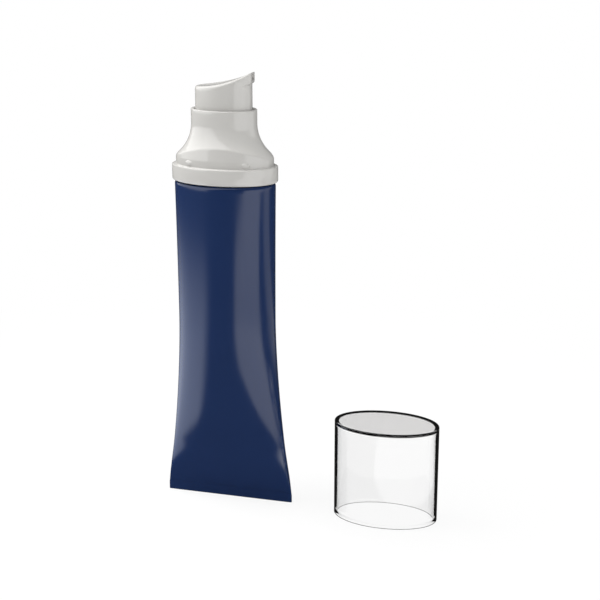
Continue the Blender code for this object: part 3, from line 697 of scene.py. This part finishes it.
def makeButton():
    angle = np.linspace(0, 2 * np.pi, button["columns"], endpoint=False)
    halfWidth, halfDepth = button["half"]
    wall = button["wall"]
    wallPlan = ovalPlan(halfWidth, halfDepth, angle)
    inner = ovalPlan(halfWidth - wall, halfDepth - wall, angle)
    plan = beakPlan(angle)
    radius = button["footRadius"]
    foot = button["foot"] + radius
    skirtTop = button["skirtTop"]

    rows = []
    for reach in np.linspace(0.06, 1, 12):
        roof = button["roof"] + button["dish"] * (1 - reach ** 2)
        rows.append(withHeight(inner * reach, fingerRest(inner[:, 0] * reach) - roof))
    rows += [withHeight(inner, z) for z in np.linspace(button["innerTop"], foot, 6)]
    for inset, z in arcSteps(radius, foot, radius, -90, -180, 5):
        rows.append(withHeight(insetOf(wallPlan, inset), z))
    rows += [withHeight(wallPlan, z) for z in np.linspace(foot, skirtTop, 6)[1:]]

    # the beak's underside: a slanted plane between the skirt and the beak's outline
    root = button["beakRoot"]
    tip = button["beakTip"]
    slope = button["beakSlope"]
    underZ = button["beakHeight"] + slope * (wallPlan[:, 0] - root)
    overZ = button["beakHeight"] + slope * (plan[:, 0] - root) + button["outlineRise"]
    skirt = withHeight(wallPlan, underZ)
    outline = withHeight(plan, overZ)
    tipLength = button["tipLength"]
    tipShare = np.clip((plan[:, 0] - tip + tipLength) / tipLength, 0, 1)[:, None]
    tipReach = button["fillet"] + (button["tipFillet"] - button["fillet"]) * tipShare
    lastZ = underZ - button["cornerDrop"]
    rows += [withHeight(wallPlan, skirtTop + (lastZ - skirtTop) * way) for way in (0.35, 0.7, 1.0)]
    rows += turnCorner(withHeight(wallPlan, lastZ), skirt, outline, button["fillet"], 5)
    beakWay = np.clip((plan[:, 0] - root) / (tip - root), 0, 1)
    edge = button["edgeRadius"] + (button["tipEdgeRadius"] - button["edgeRadius"]) * beakWay
    edgeZ = fingerRest(plan[:, 0]) - edge
    rows += turnCorner(skirt, outline, withHeight(plan, edgeZ), tipReach, 7)
    rows += [withHeight(plan, overZ + (edgeZ - overZ) * way) for way in (0.62, 0.8)]
    for inset, drop in arcSteps(1, -1, 1, 180, 90, 12):
        border = insetOf(plan, inset * edge[:, None])
        rows.append(withHeight(border, fingerRest(border[:, 0]) + drop * edge))
    for reach in np.linspace(1, 0.03, 26)[1:]:
        sink = button["dish"] * (1 - reach ** 2)
        rows.append(withHeight(border * reach, fingerRest(border[:, 0] * reach) - sink))
    return meshFromGrid("pressButton", np.array(rows))


def makeBoss():
    # section of the stem's socket turned round the axis; its top follows the finger rest in the roof
    angle = np.linspace(0, 2 * np.pi, 96, endpoint=False)
    socket = button["socketRadius"]
    radius = button["bossRadius"]
    core = 0.1                           # innermost ring, which the middle point closes
    rows = [ellipseRow(out, out, button["socketTop"], angle) for out in (core, socket)]
    rows += [ellipseRow(out, out, button["bossFoot"], angle) for out in (socket, radius)]
    for out in (radius, core):
        rows.append(ellipseRow(out, out, fingerRest(out * np.cos(angle)) - button["bossSink"], angle))
    return meshFromGrid("stemBoss", np.array(rows))


def makeDuct():
    # pipe from the bore to the boss: ring = middle + radius times (across cosine + up sine)
    angle = np.linspace(0, 2 * np.pi, 64, endpoint=False)[:, None]
    along = np.array([1, 0, button["ductRise"]]) / math.hypot(1, button["ductRise"])
    ring = np.cos(angle) * np.array([0, 1, 0]) + np.sin(angle) * np.array([-along[2], 0, along[0]])
    mouth = np.array([button["beakTip"], 0, button["orificeHeight"]])
    inner, outer = button["ductRadii"]
    near, far = button["ductReach"]
    section = ((near, inner), (near, outer), (far, outer), (far, inner))
    rows = [mouth - along * back + ring * radius for back, radius in section]
    return meshFromGrid("beakDuct", np.array(rows), wrapRows=True)


def boreOrifice(mesh):
    # bore along the duct, cut out of the beak's tip and then kept in the mesh
    slant = Vector((1, 0, button["ductRise"])).normalized()
    mouth = Vector((button["beakTip"], 0, button["orificeHeight"]))
    shape = bmesh.new()
    depth = button["orificeDepth"] + button["overrun"]
    turn = slant.to_track_quat("Z", "Y").to_matrix().to_4x4()
    turn.translation = (mouth + slant * (button["overrun"] - depth / 2)) * mm
    radius = button["orificeRadius"] * mm
    bmesh.ops.create_cone(shape, cap_ends=True, segments=48, radius1=radius, radius2=radius,
                          depth=depth * mm, matrix=turn)
    toolMesh = bpy.data.meshes.new("boreTool")
    shape.to_mesh(toolMesh)
    shape.free()
    tool = addObject("boreTool", toolMesh)
    blank = addObject("buttonBlank", mesh)
    cut = blank.modifiers.new("bore", "BOOLEAN")
    cut.operation = "DIFFERENCE"
    cut.object = tool
    bpy.context.view_layer.update()
    ready = blank.evaluated_get(bpy.context.evaluated_depsgraph_get())
    bored = bpy.data.meshes.new_from_object(ready)
    bpy.data.objects.remove(blank)
    bpy.data.objects.remove(tool)

    # points that fell together in the cut become one again, and the boss and duct join the roof
    together = 0.0001 * mm
    shape = bmesh.new()
    shape.from_mesh(bored)
    bmesh.ops.remove_doubles(shape, verts=shape.verts, dist=together)
    bmesh.ops.dissolve_degenerate(shape, edges=shape.edges, dist=together)
    shape.from_mesh(makeBoss())
    shape.from_mesh(makeDuct())
    shape.to_mesh(bored)
    shape.free()
    return bored


buttonPiece = addPiece("pressButton", boreOrifice(makeButton()), "button", ["actuator"],
                       buttonLook)
buttonPiece.data.set_sharp_from_angle(angle=sharpTurn)
print("button made")


# Overcap: clear oval cup standing on its mouth beside the tube

cap = {
    "stand": (68.2, -1.4),
    "outer": (21.6, 13.1),
    "inner": (20.35, 11.85),
    "height": 41.35,
    "roof": 1.6,
    "edgeRadius": 0.6,
    "innerRadius": 0.5,
    "mouthRadius": 0.3,
    "grooveHeight": 1.98,
    "grooveWidth": 2.4,
    "grooveDepth": 0.12,
    "draft": 0.2,
    "columns": 320,
    "roofRings": (0.1, 0.4, 0.7, 0.9, 0.97),
}


def makeCap():
    angle = np.linspace(0, 2 * np.pi, cap["columns"], endpoint=False)
    outer = cap["outer"]
    inner = cap["inner"]
    top = cap["height"]
    mouth = cap["mouthRadius"]
    edge = cap["edgeRadius"]
    under = top - cap["roof"]
    wide = outer[0] - edge
    deep = outer[1] - edge
    rows = [ellipseRow(reach * wide, reach * deep, top, angle) for reach in cap["roofRings"]]
    steps = arcSteps(-edge, top - edge, edge, 90, 0, 10)
    steps += [(0, z) for z in np.linspace(top - edge, mouth, 20)[1:-1]]
    steps += arcSteps(-mouth, mouth, mouth, 0, -90, 5)
    rows += [ellipseRow(outer[0] + out, outer[1] + out, z, angle) for out, z in steps]

    # the groove is one wave of a cosine; above it the wall leans in by the draft
    width = cap["grooveWidth"]
    draft = cap["draft"]
    low = cap["grooveHeight"] - width / 2
    innerEdge = cap["innerRadius"]
    steps = arcSteps(mouth, mouth, mouth, -90, -180, 5)
    for z in np.linspace(low, low + width, 13):
        steps.append((cap["grooveDepth"] * 0.5 * (1 - math.cos(2 * math.pi * (z - low) / width)), z))
    for z in np.linspace(low + width, under - innerEdge, 16)[1:-1]:
        steps.append((-draft * (z - low) / (under - low), z))
    steps += arcSteps(-draft - innerEdge, under - innerEdge, innerEdge, 0, 90, 10)
    rows += [ellipseRow(inner[0] + out, inner[1] + out, z, angle) for out, z in steps]
    wide = inner[0] - draft - innerEdge
    deep = inner[1] - draft - innerEdge
    rows += [ellipseRow(wide * reach, deep * reach, under, angle) for reach in cap["roofRings"][::-1]]
    grid = np.array(rows) + np.array([cap["stand"][0], cap["stand"][1], 0])
    return meshFromGrid("clearOvercap", grid)


addPiece("clearOvercap", makeCap(), "overcap", ["overcap"], clearLook)
print("overcap made")


# Parts inside the pump keep their own shapes and get their finishes: a plastic's name, colour, range of
# roughness, grain size and grain depth, and a metal's name, colour, range of roughness and stretch

innerParts = {
    "tube_head": ("headPolyethylene", (0.60, 0.60, 0.58), (0.40, 0.50), 0.35, 0.004),
    "snap_closure": ("closurePolypropylene", (0.70, 0.70, 0.69), (0.36, 0.44), 0.25, 0.003),
    "neck_gasket": ("gasketRubber", (0.22, 0.22, 0.22), (0.62, 0.78), 0.18, 0.006),
    "pump_housing": ("housingPolypropylene", (0.78, 0.78, 0.77), (0.30, 0.38), 0.25, 0.002),
    "ball_cage": ("cagePolypropylene", (0.74, 0.74, 0.73), (0.36, 0.44), 0.25, 0.002),
    "stem_guide": ("guideAcetal", (0.80, 0.80, 0.78), (0.30, 0.38), 0.20, 0.002),
    "stem": ("stemAcetal", (0.82, 0.82, 0.80), (0.28, 0.36), 0.20, 0.002),
    "valve_rod": ("rodAcetal", (0.66, 0.66, 0.64), (0.34, 0.42), 0.20, 0.002),
    "piston": ("pistonPolyethylene", (0.72, 0.74, 0.76), (0.40, 0.50), 0.30, 0.003),
}
innerMetal = {
    "inlet_ball": ("ballSteel", (0.62, 0.62, 0.64), (0.06, 0.14), (1, 1, 1)),
    "return_spring": ("springSteel", (0.58, 0.57, 0.56), (0.18, 0.34), (1, 1, 6)),
}
innerShade = {
    "cloudSize": 5.0,
    "plastic": 0.94,                     # share of the colour left in the shaded places
    "wearSize": 0.5,
    "metal": 0.8,
}


def makeInnerPlastic(name, colour, roughness, grain, depth):
    look, tree, shader, place = newLook(name)
    cloud = noiseOf(tree, place, innerShade["cloudSize"], 3.0)
    shade = [value * innerShade["plastic"] for value in colour]
    setColour(tree, shader, cloud, colour, shade)
    fine = noiseOf(tree, place, grain, 2.0)
    setRoughness(tree, shader, fine, roughness)
    addBump(tree, shader, fine, depth)
    return look


def makeInnerMetal(name, colour, roughness, stretch):
    look, tree, shader, place = newLook(name)
    wear = noiseOf(tree, place, innerShade["wearSize"], 3.0, 0.6, stretch)
    dark = [value * innerShade["metal"] for value in colour]
    setColour(tree, shader, wear, colour, dark)
    setRoughness(tree, shader, wear, roughness)
    shader.inputs["Metallic"].default_value = 1.0
    return look


def dressNode(node, look):
    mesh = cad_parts[node].data
    if mesh.materials:
        for slot in range(len(mesh.materials)):
            mesh.materials[slot] = look
    else:
        mesh.materials.append(look)


for node, values in innerParts.items():
    dressNode(node, makeInnerPlastic(*values))
for node, values in innerMetal.items():
    dressNode(node, makeInnerMetal(*values))
for node, look in (("tube_sleeve", laminateLook), ("pump_collar", collarLook),
                   ("actuator", buttonLook), ("overcap", clearLook)):
    dressNode(node, look)
print("inner parts dressed")


# Return spring: steel wire wound between the guide and the button, made at one length, though the real one
# shortens with the stroke

spring = {
    "radius": 4.0,
    "wire": 0.3,
    "turns": 5,
    "foot": 154.1,
    "length": 8.9,
    "stroke": 4.5,
    "rings": 201,
    "columns": 14,
}


def makeSpring():
    # centre = (R cos t, R sin t, rise), and the wire's ring round it = out times cosine + up times sine
    turn = np.linspace(0, 2 * np.pi * spring["turns"], spring["rings"])[:, None]
    wire = spring["wire"]
    slope = (spring["length"] - 2 * wire) / turn[-1]
    out = np.stack([np.cos(turn), np.sin(turn), 0 * turn], axis=-1)
    up = np.stack([slope * np.sin(turn), -slope * np.cos(turn), spring["radius"] + 0 * turn], axis=-1)
    up /= np.linalg.norm(up, axis=-1, keepdims=True)
    centre = spring["radius"] * out
    centre[..., 2] = spring["foot"] + wire + slope * turn
    section = np.linspace(0, 2 * np.pi, spring["columns"], endpoint=False)[None, :, None]
    return meshFromGrid("returnSpring", centre + wire * (np.cos(section) * out + np.sin(section) * up))


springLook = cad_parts["return_spring"].data.materials[0]
springPiece = addPiece("returnSpring", makeSpring(), "tube", ["return_spring"], springLook)
springPiece.data.set_sharp_from_angle(angle=sharpTurn)
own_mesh(springPiece)
print("spring made")


# Studio: pale floor, soft lamps for the light, and soft boxes that only the gloss shows

studio = {
    "floorColour": (0.79, 0.79, 0.785),
    "floorShade": 0.985,                 # share of the colour left in the floor's faint clouds
    "floorCloud": 40,
    "floorHalf": 6000,
    "floorWhite": (0.86, 1.0),           # share of plain white seen in the floor, near and far
    "floorReach": (90, 330),             # distances from the object's middle for near and far
    "floorMiddle": (35, 0, 0),
    "ambient": 0.26,
    "glossShare": 0.05,                  # the background as gloss shows it
    "lampAim": (20, 0, 90),
    "lampDistance": 1000,
    "lampSide": 600,
    "boxLift": 1,                        # height of the low soft boxes
}
lamps = {
    "keyLamp": {"azimuth": -85, "elevation": 50, "watts": 12.0},
    "frontLamp": {"azimuth": 40, "elevation": 30, "watts": 2.6},
    "sideLamp": {"azimuth": 60, "elevation": 20, "watts": 1.4},
    "topLamp": {"azimuth": 0, "elevation": 88, "watts": 3.3},
    "backLamp": {"azimuth": 180, "elevation": 60, "watts": 1.1},
}

# rows run upwards, each from its left to its right end, both as (azimuth, elevation), or for a low box,
# which lies just above the floor, outwards and as (azimuth, reach); the four soft shares are those of
# the left, right, first and last edge
softBoxes = {
    "boxKey": {
        "kind": "straight", "sphere": (1300, 155), "strength": 1.85, "soft": (0.12, 0.015, 0.02, 0.1),
        "rows": (((-115, -4), (-31, -6.5)), ((-115, 55), (25, 55))),
    },
    "boxRight": {
        "kind": "bent", "sphere": (900, 70), "strength": 1.6, "soft": (0.1, 0.05, 0, 0.05),
        "rows": (((6.3, -17), (74, -17)), ((6.5, -16.3), (68, -16.3)), ((7.5, -13.2), (64, -13.2)),
                 ((8, -11.7), (64, -11.7)), ((11, -9.4), (64, -9.4)), ((15, -7.6), (66, -7.6)),
                 ((19.8, -7), (69, -7)), ((20.3, -6.3), (80, -6.3)), ((22.3, -3.5), (80, -3.5)),
                 ((25.5, 8), (80, 8))),
    },
    "boxRightFoot": {
        "kind": "low", "strength": 1.6, "soft": (0.1, 0.08, 0.05, 0),
        "rows": (((48, 73), (54, 73)), ((41, 76), (57.5, 76)), ((35.3, 81), (64, 81)),
                 ((30, 88), (68, 88)), ((24.6, 96), (74, 96)), ((17.5, 114), (88, 114)),
                 ((13, 126), (98, 126)), ((10, 138), (100, 138)), ((9, 150), (100, 150)),
                 ((7.5, 180), (100, 180)), ((7, 197), (100, 197)), ((7.8, 203), (81, 203)),
                 ((7.3, 230), (75, 230)), ((7.3, 260), (74, 260))),
    },
    "boxRightLow": {
        "kind": "low", "strength": 0.75, "soft": (0.12, 0.1, 0.08, 0),
        "rows": (((128, 212), (152, 212)), ((110, 247), (150, 247)), ((95, 268), (143, 268)),
                 ((85, 330), (125, 330)), ((78, 400), (113, 400)), ((74, 600), (101, 600)),
                 ((74, 700), (101, 700))),
    },
    "boxRightThin": {
        "kind": "bent", "sphere": (900, 70), "strength": 1.2, "soft": (0.1, 0.1, 0, 0.05),
        "rows": (((78, -7.4), (104, -7.4)), ((79, -3.5), (119, -3.5)), ((79, 17), (120, 17)),
                 ((84, 22), (112, 22))),
    },
    "boxLeft": {
        "kind": "low", "strength": 1.8, "soft": (0.4, 0.15, 0.03, 0.74), "tint": (0.92, 0.98, 1.12),
        "rows": (((-68, 53), (-57, 53)), ((-85, 58), (-49, 58)), ((-100, 66), (-44, 66)),
                 ((-125, 84), (-38, 84)), ((-140, 114), (-33.5, 114)), ((-145, 160), (-30.5, 160)),
                 ((-145, 227), (-28.5, 227)), ((-145, 281), (-26, 281)), ((-145, 379), (-24, 379)),
                 ((-145, 475), (-26, 475)), ((-145, 600), (-32, 600))),
    },
}


def directionOf(azimuth, elevation):
    # x = sin a cos e, y = -cos a cos e, z = sin e: azimuth 0 is in front and grows to the right
    a, e = np.broadcast_arrays(np.radians(azimuth), np.radians(elevation))
    return np.stack([np.sin(a) * np.cos(e), -np.cos(a) * np.cos(e), np.sin(e)], axis=-1)


def addFloor(values):
    # the camera sees it nearly white, and quite white further off and through glass; light finds it pale
    mesh = bpy.data.meshes.new("studioFloor")
    half = values["floorHalf"] * mm
    corners = [(-half, -half, 0), (half, -half, 0), (half, half, 0), (-half, half, 0)]
    mesh.from_pydata(corners, [], [(0, 1, 2, 3)])
    look, tree, shader, place = newLook("studioFloor")
    cloud = noiseOf(tree, place, values["floorCloud"], 2.0)
    shade = [value * values["floorShade"] for value in values["floorColour"]]
    setColour(tree, shader, cloud, values["floorColour"], shade)
    shader.inputs["Roughness"].default_value = 0.9
    shader.inputs["Specular IOR Level"].default_value = 0.0
    path = addNode(tree, "ShaderNodeLightPath")
    away = addNode(tree, "ShaderNodeVectorMath", operation="DISTANCE")
    away.inputs[1].default_value = [value * mm for value in values["floorMiddle"]]
    tree.links.new(place, away.inputs[0])
    near, far = [value * mm for value in values["floorReach"]]
    level = mapRange(tree, away.outputs["Value"], near, far, *values["floorWhite"], smooth=True)
    seen = combine(tree, "MULTIPLY", level, path.outputs["Is Camera Ray"])
    share = combine(tree, "MAXIMUM", seen, path.outputs["Is Transmission Ray"])
    showMixed(tree, share, shader, addNode(tree, "ShaderNodeEmission", {"Strength": 1.0}))
    mesh.materials.append(look)
    floor = addObject("studioFloor", mesh)
    floor.visible_glossy = False         # gloss shows soft boxes below the floor's edge instead


def addLamp(name, values):
    lampData = bpy.data.lights.new(name, "AREA")
    lampData.shape = "RECTANGLE"
    lampData.size = studio["lampSide"] * mm
    lampData.size_y = studio["lampSide"] * mm
    lampData.energy = values["watts"]
    lamp = addObject(name, lampData)
    away = Vector(directionOf(values["azimuth"], values["elevation"]))
    lamp.location = (away * studio["lampDistance"] + Vector(studio["lampAim"])) * mm
    lamp.rotation_mode = "QUATERNION"
    lamp.rotation_quaternion = away.to_track_quat("Z", "Y")
    lamp.visible_glossy = False
    lamp.visible_camera = False
    lamp.visible_transmission = False


def rowShares(ends):
    # where each row lies between the first, 0, and the last, 1
    level = ends[:, 0, 1]
    return (level - level[0]) / (level[-1] - level[0])


def boxGrid(values, u, v):
    # surface round the tube through the rows: a straight one mixes the ends' places, a bent or low one
    # mixes their azimuths and elevations or reaches
    ends = np.array(values["rows"], float)
    share = rowShares(ends)
    if values["kind"] == "straight":
        ends = directionOf(ends[..., 0], ends[..., 1])
    left, right = [
        np.stack([np.interp(v, share, part) for part in side.T], axis=-1)[:, None]
        for side in ends.swapaxes(0, 1)
    ]
    grid = left + (right - left) * u[None, :, None]
    if values["kind"] == "low":
        return directionOf(grid[..., 0], 0) * grid[..., 1:] + np.array([0, 0, studio["boxLift"]])
    if values["kind"] == "bent":
        grid = directionOf(grid[..., 0], grid[..., 1])
    distance, middle = values["sphere"]
    return grid * distance + np.array([0, 0, middle])


def boxMesh(name, values):
    # the surface with a map, u from left to right and v from the first row to the last
    u = np.linspace(0, 1, 25)
    v = np.union1d(np.linspace(0, 1, 17), rowShares(np.array(values["rows"], float)))
    index = np.arange(len(v) * len(u)).reshape(len(v), len(u))
    quads = np.stack([index[:-1, :-1], index[:-1, 1:], index[1:, 1:], index[1:, :-1]], axis=-1)
    quads = quads.reshape(-1, 4)
    mesh = bpy.data.meshes.new(name)
    mesh.from_pydata((boxGrid(values, u, v).reshape(-1, 3) * mm).tolist(), [], quads.tolist())
    uvMap = mesh.uv_layers.new(name="across")
    flat = np.stack(np.meshgrid(u, v), axis=-1).reshape(-1, 2)
    uvMap.data.foreach_set("uv", flat[quads.ravel()].ravel())
    return mesh


def addSoftBox(name, values):
    # clear sheet that glows in gloss alone, its glow fading out towards the edges
    look = bpy.data.materials.new(name)
    look.use_nodes = True
    tree = look.node_tree
    tree.nodes.remove(tree.nodes["Principled BSDF"])
    place = addNode(tree, "ShaderNodeUVMap", uv_map="across")
    parts = addNode(tree, "ShaderNodeSeparateXYZ")
    tree.links.new(place.outputs["UV"], parts.inputs[0])
    across, upward = parts.outputs[0], parts.outputs[1]
    left, right, low, high = values["soft"]
    level = values["strength"]
    for source, start, end in ((across, 0, left), (across, 1, 1 - right),
                               (upward, 0, low), (upward, 1, 1 - high)):
        if start != end:
            edge = mapRange(tree, source, start, end, 0, 1, smooth=True)
            level = combine(tree, "MULTIPLY", edge, level)
    tint = values.get("tint", (1, 1, 1))
    glow = addNode(tree, "ShaderNodeEmission", {"Color": (*tint, 1)})
    tree.links.new(level, glow.inputs["Strength"])
    both = addNode(tree, "ShaderNodeAddShader")
    tree.links.new(glow.outputs[0], both.inputs[0])
    tree.links.new(addNode(tree, "ShaderNodeBsdfTransparent").outputs[0], both.inputs[1])
    tree.links.new(both.outputs[0], tree.nodes["Material Output"].inputs["Surface"])
    look.cycles.emission_sampling = "NONE"
    box = addObject(name, boxMesh(name, values))
    box.data.materials.append(look)
    box.visible_camera = False
    box.visible_diffuse = False
    box.visible_transmission = False
    box.visible_shadow = False


def setWorld(values):
    # white to the camera and through glass, soft and even for the light, and nearly dark in gloss
    world = bpy.data.worlds.new("studioWorld")
    bpy.context.scene.world = world
    world.use_nodes = True
    tree = world.node_tree
    back = tree.nodes["Background"]
    back.inputs["Color"].default_value = (1, 1, 1, 1)
    path = addNode(tree, "ShaderNodeLightPath")
    total = combine(tree, "MAXIMUM", path.outputs["Is Camera Ray"], path.outputs["Is Transmission Ray"])
    for ray, level in (("Is Glossy Ray", values["glossShare"]), ("Is Diffuse Ray", values["ambient"])):
        total = combine(tree, "MAXIMUM", total, combine(tree, "MULTIPLY", path.outputs[ray], level))
    tree.links.new(total, back.inputs["Strength"])
    world.cycles.sampling_method = "NONE"


addFloor(studio)
for name, values in lamps.items():
    addLamp(name, values)
for name, values in softBoxes.items():
    addSoftBox(name, values)
setWorld(studio)
bpy.context.scene.view_settings.view_transform = "Standard"
print("studio set")
